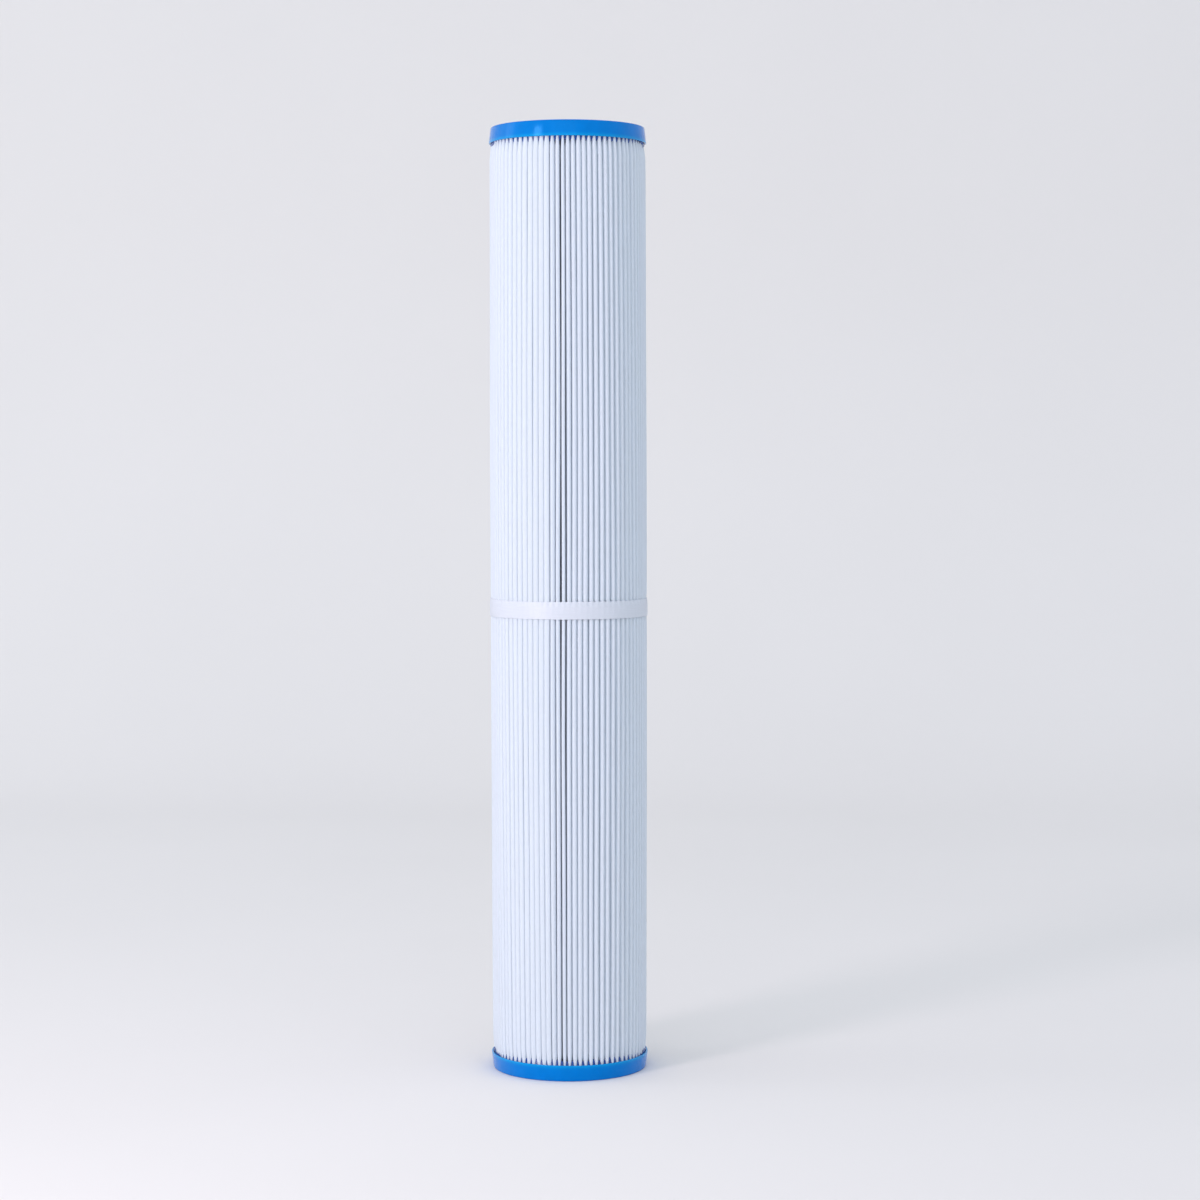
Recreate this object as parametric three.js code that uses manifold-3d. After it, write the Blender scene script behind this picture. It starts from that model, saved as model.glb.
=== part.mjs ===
// A pleated filter cartridge for a pool or spa filter: two flanged end caps, the potting that bonds
// them, a perforated core in three sections, a ring of pleated media with its glued seam, and a strap
// round the middle. It stands on its lower cap: the origin is the centre of that cap's face, +Z is up
// along the bore, and +Y is the back, where the strap's lap and the media's seam are.
import * as THREE from "three";
import { mergeVertices } from "three/addons/utils/BufferGeometryUtils.js";
import Module from "manifold-3d";

const wasm = await Module();
wasm.setup();

// Driving dimensions, in millimetres.
const OVERALL_LENGTH = 749.3;
const BORE_DIAMETER = 54;
const FIT_GAP = 0.3; // between pieces that touch or slide together

const CAP_RIM_DIAMETER = 125.4;
const CAP_HEIGHT = 12.7;
const CAP_FLARE = 1.5; // how far the skirt leans out from the face to its rim
const CAP_WALL = 1.6;
const CAP_FLOOR = 2.4;
const CAP_EDGE_CHAMFER = 1.2;
const BORE_EDGE_CHAMFER = 0.6;
const FACE_RECESS = 0.8;
const OUTER_LAND_WIDTH = 6;
const INNER_LAND_WIDTH = 8;
const COLLAR_WALL = 1.6;
const COLLAR_HEIGHT = 9;

const POTTING_DEPTH = 8;

const CORE_WALL = 2.5;
const CORE_SECTIONS = 3;
const SPIGOT_LENGTH = 8;
const CORE_COLUMNS = 8;
const CORE_ROWS = 5;
const CORE_RIB_WIDTH = 6.5;
const CORE_RING_WIDTH = 6;
const CORE_END_BAND = 14;

const PLEAT_COUNT = 84;
const MEDIA_THICKNESS = 0.5;
const PLEAT_TIP_WIDTH = 2.4;
const MOUTH_GAP = 0.5; // between the pleats and the cap's skirt
const MEDIA_SWELL = 1.3; // how far the pleats spring out once they are clear of the cap
const SWELL_LENGTH = 13; // the height over which they do
const MEDIA_CORE_GAP = 0.4;

const SEAM_PLEAT = 23; // the pleat, counted from +X, whose valley holds the seam
const SEAM_DEPTH = 8;
const SEAM_INSET = 8; // from the pleat tips to the glue

const BAND_WIDTH = 14.3;
const BAND_THICKNESS = 0.8;
const BAND_CENTRE_HEIGHT = 369;
const BAND_LAP_LENGTH = 18;
const BAND_LAP_BEARING = 0.75 * Math.PI;
const LAP_SINK = 0.4; // how deep the lap is sunk in the strap that it is welded to

const ROUND_SEGMENTS = 48;
const CORE_SEGMENTS = 32;

// Sizes that follow from them.
const boreRadius = BORE_DIAMETER / 2;
const rimRadius = CAP_RIM_DIAMETER / 2;
const faceRadius = rimRadius - CAP_FLARE;
const collarRadius = boreRadius + COLLAR_WALL;
const coreInnerRadius = collarRadius + FIT_GAP;
const coreOuterRadius = coreInnerRadius + CORE_WALL;
const coreStart = CAP_FLOOR + FIT_GAP;
const pottingStart = CAP_FLOOR + FIT_GAP;
const pottingTop = pottingStart + POTTING_DEPTH;
const mediaStart = pottingTop + FIT_GAP;
const mediaEnd = OVERALL_LENGTH - mediaStart;
const mediaInnerRadius = coreOuterRadius + MEDIA_CORE_GAP;
const mediaOuterRadius = cupInnerRadius(CAP_HEIGHT) - MOUTH_GAP + MEDIA_SWELL;
const pleatPitch = (2 * Math.PI) / PLEAT_COUNT;
const tipHalfWidth = PLEAT_TIP_WIDTH / 2;
const foldHalfPitch = (mediaInnerRadius * pleatPitch) / 4;
const valleyRadius = mediaInnerRadius + MEDIA_THICKNESS;
const valleyFloorHalfWidth = foldHalfPitch - MEDIA_THICKNESS / 2;
const bandInnerRadius = mediaOuterRadius + FIT_GAP;
const bandOuterRadius = bandInnerRadius + BAND_THICKNESS;

const blueCap = new THREE.MeshStandardMaterial({ color: 0x0a7ad6, roughness: 0.35, metalness: 0 });
const bluePotting = new THREE.MeshStandardMaterial({ color: 0x0b5fb4, roughness: 0.45, metalness: 0 });
const whiteCore = new THREE.MeshStandardMaterial({ color: 0xe9ecee, roughness: 0.5, metalness: 0 });
const whiteMedia = new THREE.MeshStandardMaterial({ color: 0xe8edf7, roughness: 0.9, metalness: 0 });
const clearGlue = new THREE.MeshStandardMaterial({ color: 0xe9e4d3, roughness: 0.4, metalness: 0 });
const whiteStrap = new THREE.MeshStandardMaterial({ color: 0xe3e8f1, roughness: 0.5, metalness: 0 });

// The skirt's outer radius at a height above the cap's face.
function cupOuterRadius(height) {
  return faceRadius + (CAP_FLARE * height) / CAP_HEIGHT;
}

function cupInnerRadius(height) {
  return cupOuterRadius(height) - CAP_WALL;
}

// A ring turned about Z from a closed outline of [radius, height] points, which runs up its outer side.
function turned(outline, segments) {
  const points = [...outline, outline[0]].map(([radius, height]) => new THREE.Vector2(radius, height));
  return new THREE.LatheGeometry(points, segments).rotateX(Math.PI / 2);
}

function solidOf(geometry) {
  const bare = geometry.clone();
  bare.deleteAttribute("normal");
  bare.deleteAttribute("uv");
  const merged = mergeVertices(bare);
  const vertProperties = merged.attributes.position.array;
  const triVerts = new Uint32Array(merged.index.array);
  return new wasm.Manifold(new wasm.Mesh({ numProp: 3, vertProperties, triVerts }));
}

function geometryOf(solid) {
  const { vertProperties, triVerts } = solid.getMesh();
  const geometry = new THREE.BufferGeometry();
  geometry.setAttribute("position", new THREE.BufferAttribute(vertProperties, 3));
  geometry.setIndex(new THREE.BufferAttribute(triVerts, 1));
  const flat = geometry.toNonIndexed();
  flat.computeVertexNormals();
  return flat;
}

function piece(name, geometry, material) {
  const mesh = new THREE.Mesh(geometry, material);
  mesh.name = name;
  return mesh;
}

// Turns a piece made for the lower end over, to stand at the upper end.
function atTop(mesh) {
  mesh.rotation.x = Math.PI;
  mesh.position.z = OVERALL_LENGTH;
  return mesh;
}

// The cap: a flanged cup whose collar stands round the bore. Its face has two lands with a recess between.
function capGeometry() {
  const innerLandEdge = boreRadius + INNER_LAND_WIDTH;
  const outerLandEdge = faceRadius - OUTER_LAND_WIDTH;
  const outline = [
    [boreRadius + BORE_EDGE_CHAMFER, 0],
    [innerLandEdge, 0],
    [innerLandEdge + FACE_RECESS, FACE_RECESS],
    [outerLandEdge - FACE_RECESS, FACE_RECESS],
    [outerLandEdge, 0],
    [faceRadius - CAP_EDGE_CHAMFER, 0],
    [cupOuterRadius(CAP_EDGE_CHAMFER), CAP_EDGE_CHAMFER],
    [rimRadius, CAP_HEIGHT],
    [rimRadius - CAP_WALL, CAP_HEIGHT],
    [cupInnerRadius(CAP_FLOOR), CAP_FLOOR],
    [collarRadius, CAP_FLOOR],
    [collarRadius, CAP_FLOOR + COLLAR_HEIGHT],
    [boreRadius, CAP_FLOOR + COLLAR_HEIGHT],
    [boreRadius, BORE_EDGE_CHAMFER],
  ];
  return turned(outline, ROUND_SEGMENTS);
}

// The potting: a ring that fills the cup's bottom from the core to the skirt.
function pottingGeometry() {
  const outline = [
    [coreOuterRadius + FIT_GAP, pottingStart],
    [cupInnerRadius(pottingStart) - FIT_GAP, pottingStart],
    [cupInnerRadius(pottingTop) - FIT_GAP, pottingTop],
    [coreOuterRadius + FIT_GAP, pottingTop],
  ];
  return turned(outline, ROUND_SEGMENTS);
}

// The outline of one core section, with a socket in its foot and a spigot on its head where it joins others.
function coreOutline(bottom, top, hasSocket, hasSpigot) {
  const jointWall = (CORE_WALL - FIT_GAP) / 2;
  const outline = [
    [coreOuterRadius, bottom],
    [coreOuterRadius, top],
  ];
  if (hasSpigot) {
    outline.push([coreInnerRadius + jointWall, top]);
    outline.push([coreInnerRadius + jointWall, top + SPIGOT_LENGTH]);
    outline.push([coreInnerRadius, top + SPIGOT_LENGTH]);
  } else {
    outline.push([coreInnerRadius, top]);
  }
  if (hasSocket) {
    const shoulder = bottom + SPIGOT_LENGTH + FIT_GAP;
    outline.push([coreInnerRadius, shoulder]);
    outline.push([coreOuterRadius - jointWall, shoulder]);
    outline.push([coreOuterRadius - jointWall, bottom]);
  } else {
    outline.push([coreInnerRadius, bottom]);
  }
  return outline;
}

// Cuts the rows of windows through a core section. One bar cuts two windows, one on each side.
function cutWindows(section, bottom, top) {
  const meanRadius = (coreInnerRadius + coreOuterRadius) / 2;
  const width = (2 * Math.PI * meanRadius) / CORE_COLUMNS - CORE_RIB_WIDTH;
  const cutHeight = top - bottom - 2 * CORE_END_BAND;
  const height = (cutHeight + CORE_RING_WIDTH) / CORE_ROWS - CORE_RING_WIDTH;
  let cut = section;
  for (let row = 0; row < CORE_ROWS; row += 1) {
    const centre = bottom + CORE_END_BAND + row * (height + CORE_RING_WIDTH) + height / 2;
    for (let column = 0; column < CORE_COLUMNS / 2; column += 1) {
      const bar = new THREE.BoxGeometry(3 * coreOuterRadius, width, height);
      bar.rotateZ(((column + 0.5) * 2 * Math.PI) / CORE_COLUMNS);
      bar.translate(0, 0, centre);
      cut = cut.subtract(solidOf(bar));
    }
  }
  return cut;
}

function coreGeometry(index) {
  const sectionLength = (OVERALL_LENGTH - 2 * coreStart) / CORE_SECTIONS;
  const isFirst = index === 0;
  const isLast = index === CORE_SECTIONS - 1;
  const bottom = coreStart + index * sectionLength + (isFirst ? 0 : FIT_GAP / 2);
  const top = coreStart + (index + 1) * sectionLength - (isLast ? 0 : FIT_GAP / 2);
  const tube = turned(coreOutline(bottom, top, !isFirst, !isLast), CORE_SEGMENTS);
  return geometryOf(cutWindows(solidOf(tube), bottom, top));
}

// One face of the folded sheet: for each pleat, the two edges of its tip and the two of its valley.
function pleatLoop(outerRadius, outerHalfWidth, innerRadius, innerHalfWidth) {
  const points = [];
  const add = (radius, bearing, offset) => {
    const angle = bearing + offset / radius;
    points.push(new THREE.Vector2(radius * Math.cos(angle), radius * Math.sin(angle)));
  };
  for (let pleat = 0; pleat < PLEAT_COUNT; pleat += 1) {
    const tip = pleat * pleatPitch;
    const valley = tip + pleatPitch / 2;
    add(outerRadius, tip, -outerHalfWidth);
    add(outerRadius, tip, outerHalfWidth);
    add(innerRadius, valley, -innerHalfWidth);
    add(innerRadius, valley, innerHalfWidth);
  }
  return points;
}

// The folded sheet's section: a closed zigzag ring, one sheet thick.
function pleatSection() {
  const outerFace = pleatLoop(mediaOuterRadius, tipHalfWidth, valleyRadius, valleyFloorHalfWidth);
  const innerFace = pleatLoop(
    mediaOuterRadius - MEDIA_THICKNESS,
    tipHalfWidth - MEDIA_THICKNESS,
    mediaInnerRadius,
    valleyFloorHalfWidth + MEDIA_THICKNESS,
  );
  const section = new THREE.Shape(outerFace);
  section.holes.push(new THREE.Path(innerFace.reverse()));
  return section;
}

// The levels of the media from its lower end to its upper end: each has a height and the pleat tips' radius.
function mediaLevels() {
  const endRadius = cupInnerRadius(mediaStart) - MOUTH_GAP;
  const swollen = CAP_HEIGHT + SWELL_LENGTH;
  return [
    { height: mediaStart, radius: endRadius },
    { height: swollen, radius: mediaOuterRadius },
    { height: OVERALL_LENGTH - swollen, radius: mediaOuterRadius },
    { height: mediaEnd, radius: endRadius },
  ];
}

// The media: the section drawn out along Z, with the pleat tips drawn in where they enter the caps.
function mediaGeometry() {
  const levels = mediaLevels();
  const steps = levels.length - 1;
  const media = new THREE.ExtrudeGeometry(pleatSection(), { depth: steps, steps, bevelEnabled: false });
  const position = media.attributes.position;
  for (let i = 0; i < position.count; i += 1) {
    const level = levels[Math.round(position.getZ(i))];
    const radius = Math.hypot(position.getX(i), position.getY(i));
    const share = (radius - mediaInnerRadius) / (mediaOuterRadius - mediaInnerRadius);
    const scale = (radius + share * (level.radius - mediaOuterRadius)) / radius;
    position.setXYZ(i, position.getX(i) * scale, position.getY(i) * scale, level.height);
  }
  media.computeVertexNormals();
  return media;
}

// Half the width of the valley between two pleats, at a distance from the axis.
function valleyHalfWidth(reach) {
  const mouthHalfWidth = (mediaOuterRadius * pleatPitch) / 2 - tipHalfWidth;
  const share = (reach - valleyRadius) / (mediaOuterRadius - valleyRadius);
  return valleyFloorHalfWidth + share * (mouthHalfWidth - valleyFloorHalfWidth);
}

// The glue line that closes the sheet into a ring: a wedge that fills the valley beside the seam pleat.
function seamGeometry() {
  const outer = mediaOuterRadius - SEAM_INSET;
  const inner = outer - SEAM_DEPTH;
  const outerHalf = valleyHalfWidth(outer) - FIT_GAP;
  const innerHalf = valleyHalfWidth(inner) - FIT_GAP;
  const section = new THREE.Shape([
    new THREE.Vector2(inner, -innerHalf),
    new THREE.Vector2(outer, -outerHalf),
    new THREE.Vector2(outer, outerHalf),
    new THREE.Vector2(inner, innerHalf),
  ]);
  const seam = new THREE.ExtrudeGeometry(section, { depth: mediaEnd - mediaStart, bevelEnabled: false });
  seam.translate(0, 0, mediaStart);
  seam.rotateZ((SEAM_PLEAT + 0.5) * pleatPitch);
  return seam;
}

// The strap: a ring round the pleats, with its ends lapped and welded at the back.
function bandGeometry() {
  const bottom = -BAND_WIDTH / 2;
  const top = BAND_WIDTH / 2;
  const outline = [
    [bandOuterRadius, bottom],
    [bandOuterRadius, top],
    [bandInnerRadius, top],
    [bandInnerRadius, bottom],
  ];
  const from = BAND_LAP_BEARING - BAND_LAP_LENGTH / 2 / bandOuterRadius;
  const to = BAND_LAP_BEARING + BAND_LAP_LENGTH / 2 / bandOuterRadius;
  const lapShape = new THREE.Shape();
  lapShape.absarc(0, 0, bandOuterRadius + BAND_THICKNESS, from, to, false);
  lapShape.absarc(0, 0, bandOuterRadius - LAP_SINK, to, from, true);
  const lap = new THREE.ExtrudeGeometry(lapShape, { depth: BAND_WIDTH, bevelEnabled: false, curveSegments: 2 });
  lap.translate(0, 0, bottom);
  const band = solidOf(turned(outline, ROUND_SEGMENTS)).add(solidOf(lap));
  return geometryOf(band);
}

const cartridge = new THREE.Group();

cartridge.add(piece("bottom_end_cap", capGeometry(), blueCap));
cartridge.add(piece("bottom_potting", pottingGeometry(), bluePotting));
const sectionNames = ["core_lower_section", "core_middle_section", "core_upper_section"];
sectionNames.forEach((name, index) => cartridge.add(piece(name, coreGeometry(index), whiteCore)));
cartridge.add(piece("pleated_media", mediaGeometry(), whiteMedia));
cartridge.add(piece("media_seam_bead", seamGeometry(), clearGlue));
const strap = piece("retaining_band", bandGeometry(), whiteStrap);
strap.position.z = BAND_CENTRE_HEIGHT;
cartridge.add(strap);
cartridge.add(atTop(piece("top_potting", pottingGeometry(), bluePotting)));
cartridge.add(atTop(piece("top_end_cap", capGeometry(), blueCap)));

export default cartridge;
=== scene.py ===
"""A pleated filter cartridge for a pool or spa filter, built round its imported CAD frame.

The cartridge stands on its lower cap: +Z runs up the bore and +Y is the back.
"""

import math

import bmesh
import bpy
import numpy as np
from mathutils import Matrix, Vector


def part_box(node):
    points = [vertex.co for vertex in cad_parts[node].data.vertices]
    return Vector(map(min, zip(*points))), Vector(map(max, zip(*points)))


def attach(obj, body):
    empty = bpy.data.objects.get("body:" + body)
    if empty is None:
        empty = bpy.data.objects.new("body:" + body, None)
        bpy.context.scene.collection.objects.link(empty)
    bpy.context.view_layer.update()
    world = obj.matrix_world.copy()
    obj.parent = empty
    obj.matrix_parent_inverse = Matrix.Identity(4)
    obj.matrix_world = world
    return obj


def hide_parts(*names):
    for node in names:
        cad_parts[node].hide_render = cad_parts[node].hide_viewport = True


bl_info = {
    "name": "Pleated Filter Cartridge",
    "version": (1, 0, 0),
    "blender": (4, 5, 0),
    "location": "3D View > Sidebar > Cartridge",
    "description": "Builds a pleated filter cartridge for a pool or spa, and its studio",
    "category": "Add Mesh",
}

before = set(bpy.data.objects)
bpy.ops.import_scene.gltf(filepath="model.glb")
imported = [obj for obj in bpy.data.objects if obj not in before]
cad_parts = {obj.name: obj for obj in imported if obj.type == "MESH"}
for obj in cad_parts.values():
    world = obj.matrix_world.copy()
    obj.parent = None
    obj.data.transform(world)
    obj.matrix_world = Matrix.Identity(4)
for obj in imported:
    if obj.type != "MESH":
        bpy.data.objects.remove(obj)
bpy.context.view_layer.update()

MM = 0.001
TURN = 2 * math.pi
SHARP_ANGLE = 40
WELD_DISTANCE = 0.02 * MM

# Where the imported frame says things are.
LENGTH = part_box("top_end_cap")[1].z
RIM_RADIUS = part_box("bottom_end_cap")[1].x
CAP_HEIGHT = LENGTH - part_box("top_end_cap")[0].z
POTTING_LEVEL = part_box("bottom_potting")[1].z
CORE_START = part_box("core_lower_section")[0].z
MEDIA_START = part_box("pleated_media")[0].z
MEDIA_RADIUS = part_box("pleated_media")[1].x
STRAP_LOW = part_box("retaining_band")[0].z
STRAP_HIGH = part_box("retaining_band")[1].z
STRAP_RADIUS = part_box("retaining_band")[1].x
STRAP_CENTRE = (STRAP_LOW + STRAP_HIGH) / 2


# ---------------------------------------------------------------- shared helpers


def linear(hex_colour):
    """An sRGB hex value, such as "0a7ad6", as linear RGBA."""
    parts = [int(hex_colour[i : i + 2], 16) / 255 for i in (0, 2, 4)]
    return [c / 12.92 if c <= 0.04045 else ((c + 0.055) / 1.055) ** 2.4 for c in parts] + [1.0]


def add_node(tree, kind, inputs=None, **settings):
    """Adds one node with its settings; each input is a value, or a socket to link from."""
    node = tree.nodes.new(kind)
    for name, value in settings.items():
        setattr(node, name, value)
    for key, value in (inputs or {}).items():
        if isinstance(value, bpy.types.NodeSocket):
            tree.links.new(value, node.inputs[key])
        else:
            node.inputs[key].default_value = value
    return node


def new_material(name):
    """A material with an empty node tree, and that tree."""
    material = bpy.data.materials.new(name)
    material.use_nodes = True
    tree = material.node_tree
    tree.nodes.clear()
    return material, tree


def finished(material, surface):
    """The material, once its surface is linked to its output."""
    add_node(material.node_tree, "ShaderNodeOutputMaterial", {0: surface})
    return material


def mesh_object(name, vertices, faces, material, sharp_angle=SHARP_ANGLE):
    """A smooth-shaded object, sharp where its faces meet at more than the angle, in degrees."""
    mesh = bpy.data.meshes.new(name)
    if isinstance(faces, np.ndarray):
        faces = faces.tolist()
    mesh.from_pydata(np.asarray(vertices).tolist(), [], faces)
    mesh.materials.append(material)
    mesh.shade_smooth()
    mesh.set_sharp_from_angle(angle=math.radians(sharp_angle))
    mesh.update()
    piece = bpy.data.objects.new(name, mesh)
    bpy.context.scene.collection.objects.link(piece)
    return piece


def grid_faces(rows, columns, close_columns=True, close_rows=False, start=0):
    """The quads of a grid of vertices stored row by row, closed round its columns or rows if asked."""
    row = np.arange(rows if close_rows else rows - 1)
    column = np.arange(columns if close_columns else columns - 1)
    row, column = np.meshgrid(row, column, indexing="ij")
    next_row = (row + 1) % rows
    next_column = (column + 1) % columns
    quads = [
        row * columns + column,
        row * columns + next_column,
        next_row * columns + next_column,
        next_row * columns + column,
    ]
    return np.stack(quads, axis=-1).reshape(-1, 4) + start


def rod_faces(rows, sides):
    """The faces of a rod of vertices stored ring by ring, with one face on each end."""
    faces = grid_faces(rows, sides).tolist()
    faces.append(list(range(sides))[::-1])
    faces.append([(rows - 1) * sides + i for i in range(sides)])
    return faces


def at_angle(radius, angle, height):
    """Points at an angle from +X, as seen from above."""
    return np.stack([radius * np.cos(angle), radius * np.sin(angle), height], axis=-1)


def at_bearing(radius, bearing, height):
    """Points at a bearing, which is the angle from the front, -Y, towards +X."""
    return np.stack([radius * np.sin(bearing), -radius * np.cos(bearing), height], axis=-1)


def rounded_outline(corners, steps=5):
    """A closed outline of [across, up, fillet] corners, with an arc of the fillet's radius at each."""
    points = []
    count = len(corners)
    for i, (x, y, fillet) in enumerate(corners):
        here = np.array([x, y])
        if fillet <= 0:
            points.append(here)
            continue
        before = np.array(corners[i - 1][:2]) - here
        after = np.array(corners[(i + 1) % count][:2]) - here
        into = before / np.linalg.norm(before)
        out = after / np.linalg.norm(after)
        half = math.acos(max(-1.0, min(1.0, float(into @ out)))) / 2
        reach = fillet / math.tan(half)
        bisector = into + out
        centre = here + bisector / np.linalg.norm(bisector) * fillet / math.sin(half)
        start = here + into * reach - centre
        end = here + out * reach - centre
        sweep = math.pi - 2 * half
        for step in range(steps + 1):
            share = step / steps
            blend = start * math.sin((1 - share) * sweep) + end * math.sin(share * sweep)
            points.append(centre + blend / math.sin(sweep))
    return np.array(points)


def lathe(name, outline, segments, material, wander):
    """A closed outline of [radius, height] points turned about Z, each moved by wander."""
    angle = np.arange(segments) * TURN / segments
    radius = np.repeat(outline[:, 0][:, None], segments, axis=1)
    height = np.repeat(outline[:, 1][:, None], segments, axis=1)
    around = np.repeat(angle[None, :], len(outline), axis=0)
    radius, height = wander(around, radius, height)
    points = at_angle(radius, around, height).reshape(-1, 3)
    faces = grid_faces(len(outline), segments, close_rows=True)
    return mesh_object(name, points, faces, material)


def smoothstep(low, high, value):
    """How far a value is from low to high, from 0 to 1, eased at both ends."""
    share = np.clip((value - low) / (high - low), 0, 1)
    return share * share * (3 - 2 * share)


def weld_and_face_out(piece):
    """Joins points that coincide and turns every face outward."""
    work = bmesh.new()
    work.from_mesh(piece.data)
    bmesh.ops.remove_doubles(work, verts=work.verts, dist=WELD_DISTANCE)
    bmesh.ops.recalc_face_normals(work, faces=work.faces)
    work.to_mesh(piece.data)
    work.free()
    piece.data.set_sharp_from_angle(angle=math.radians(SHARP_ANGLE))


def place(piece, slot, *nodes):
    """Puts a finished piece on the cartridge in place of its CAD nodes."""
    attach(piece, "root")
    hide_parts(*nodes)


def turn_over(piece):
    """Stands a piece that was made for the lower end at the upper end."""
    piece.rotation_euler.x = math.pi
    piece.location.z = LENGTH
    return piece


# ---------------------------------------------------------------- sizes and colours


def length_value(name, description, default):
    return bpy.props.FloatProperty(name=name, description=description, default=default, unit="LENGTH")


def number_value(name, description, default):
    return bpy.props.FloatProperty(name=name, description=description, default=default)


def count_value(name, description, default):
    return bpy.props.IntProperty(name=name, description=description, default=default)


def colour_value(name, description, default):
    return bpy.props.StringProperty(name=name, description="sRGB hex of " + description, default=default)


class CapSettings(bpy.types.PropertyGroup):
    bore_diameter: length_value("Bore", "Diameter of the water outlet", 54 * MM)
    flare: length_value("Flare", "How far the skirt leans out from the face to its rim", 1.5 * MM)
    wall: length_value("Wall", "Thickness of the skirt and collar", 1.6 * MM)
    floor: length_value("Floor", "Thickness of the cap's face", 2.4 * MM)
    collar_height: length_value("Collar height", "Collar round the bore", 9 * MM)
    colour: colour_value("Colour", "the moulding", "0074c9")
    # Painted light: the lip's colour is painted lighter than the moulding, for light shining through the
    # thin wall and catching its edge.
    painted_lip_light_colour: colour_value("Thin colour", "the lip, where light comes through", "0a90d2")
    # Painted shade: the resin's blue is painted darker than the mouldings', for the shade in the valleys
    # between the pleats.
    resin_colour_with_painted_shade: colour_value("Resin", "the potting resin", "004090")


class CoreSettings(bpy.types.PropertyGroup):
    wall: length_value("Wall", "Thickness of the cage", 2.5 * MM)
    columns: count_value("Columns", "Windows round the cage", 8)
    rows: count_value("Rows", "Windows up one section", 5)
    colour: colour_value("Colour", "the cage", "e6e9ec")


class MediaSettings(bpy.types.PropertyGroup):
    pleats: count_value("Pleats", "Folds round the ring", 84)
    thickness: length_value("Thickness", "Thickness of the felt", 0.5 * MM)
    tip_width: length_value("Tip width", "Width of one pleat at its tip", 4.2 * MM)
    lean: bpy.props.FloatProperty(
        name="Lean",
        description="How far the tips are pushed round from the folds at the core",
        default=math.radians(5.0),
        subtype="ANGLE",
    )
    wander: length_value("Wander", "How far single tips stray", 0.22 * MM)
    colour: colour_value("Colour", "the felt", "ecf4fd")


class StrapSettings(bpy.types.PropertyGroup):
    thickness: length_value("Thickness", "Thickness of the strap", 0.8 * MM)
    lap_length: length_value("Lap", "How far its ends overlap", 18 * MM)
    colour: colour_value("Colour", "the strap", "e3e9f3")


class StudioSettings(bpy.types.PropertyGroup):
    distance: length_value("Distance", "Camera to the cartridge's axis", 2.232)
    eye_height: length_value("Eye height", "Camera above the floor", 0.490)
    sideways: length_value("Sideways", "Camera to the right of the axis", 0.0251)
    lens: number_value("Lens", "Focal length in millimetres", 83.88)
    key_power: number_value("Key", "Power of the window light in watts", 12.0)
    fill_power: number_value("Fill", "Power of the light by the camera in watts", 7.5)
    wash_power: number_value("Wash", "Power of the light on the left of the sweep, in watts", 5.5)
    room_light: number_value("Room", "Strength of the even light of the room", 0.95)
    sweep_colour: colour_value("Sweep", "the paper sweep", "edeae8")


def settings(name):
    return getattr(bpy.context.scene, "cartridge_" + name)


# ---------------------------------------------------------------- materials


def piece_space(tree):
    """The place of a point on its piece, in metres."""
    return add_node(tree, "ShaderNodeTexCoord").outputs["Object"]


def noise(tree, vector, size, detail, roughness=0.5):
    """Smooth noise, its patches about one size apart."""
    inputs = {"Vector": vector, "Scale": 1 / size, "Detail": detail, "Roughness": roughness}
    return add_node(tree, "ShaderNodeTexNoise", inputs).outputs[0]


def drawn_noise(tree, vector, across, along, detail):
    """Smooth noise, its patches one size across the piece's Z and another along it."""
    scale = (1 / across, 1 / across, 1 / along)
    drawn = add_node(tree, "ShaderNodeMapping", {"Vector": vector, "Scale": scale})
    return noise(tree, drawn.outputs[0], 1.0, detail)


def between(tree, value, low, high):
    """Noise stretched to run from low to high."""
    inputs = {"Value": value, "From Min": 0.3, "From Max": 0.7, "To Min": low, "To Max": high}
    return add_node(tree, "ShaderNodeMapRange", inputs).outputs[0]


def shaded(tree, colour, value, low, high):
    """A colour whose brightness noise moves from low to high."""
    inputs = {"Value": between(tree, value, low, high), "Color": colour}
    return add_node(tree, "ShaderNodeHueSaturation", inputs).outputs[0]


def relief(tree, height, strength, depth):
    """The normals of a surface that noise raises by up to the depth."""
    inputs = {"Strength": strength, "Distance": depth, "Height": height}
    return add_node(tree, "ShaderNodeBump", inputs).outputs[0]


def solid(tree, colour, roughness, ior, normal, more=None):
    """A solid surface; more gives any other inputs of its shader."""
    inputs = {"Base Color": colour, "Roughness": roughness, "IOR": ior, "Normal": normal}
    inputs.update(more or {})
    return add_node(tree, "ShaderNodeBsdfPrincipled", inputs).outputs[0]


def partly(tree, share, front, through):
    """A surface that lets a share of the light go on through it."""
    return add_node(tree, "ShaderNodeMixShader", {0: share, 1: front, 2: through}).outputs[0]


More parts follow.
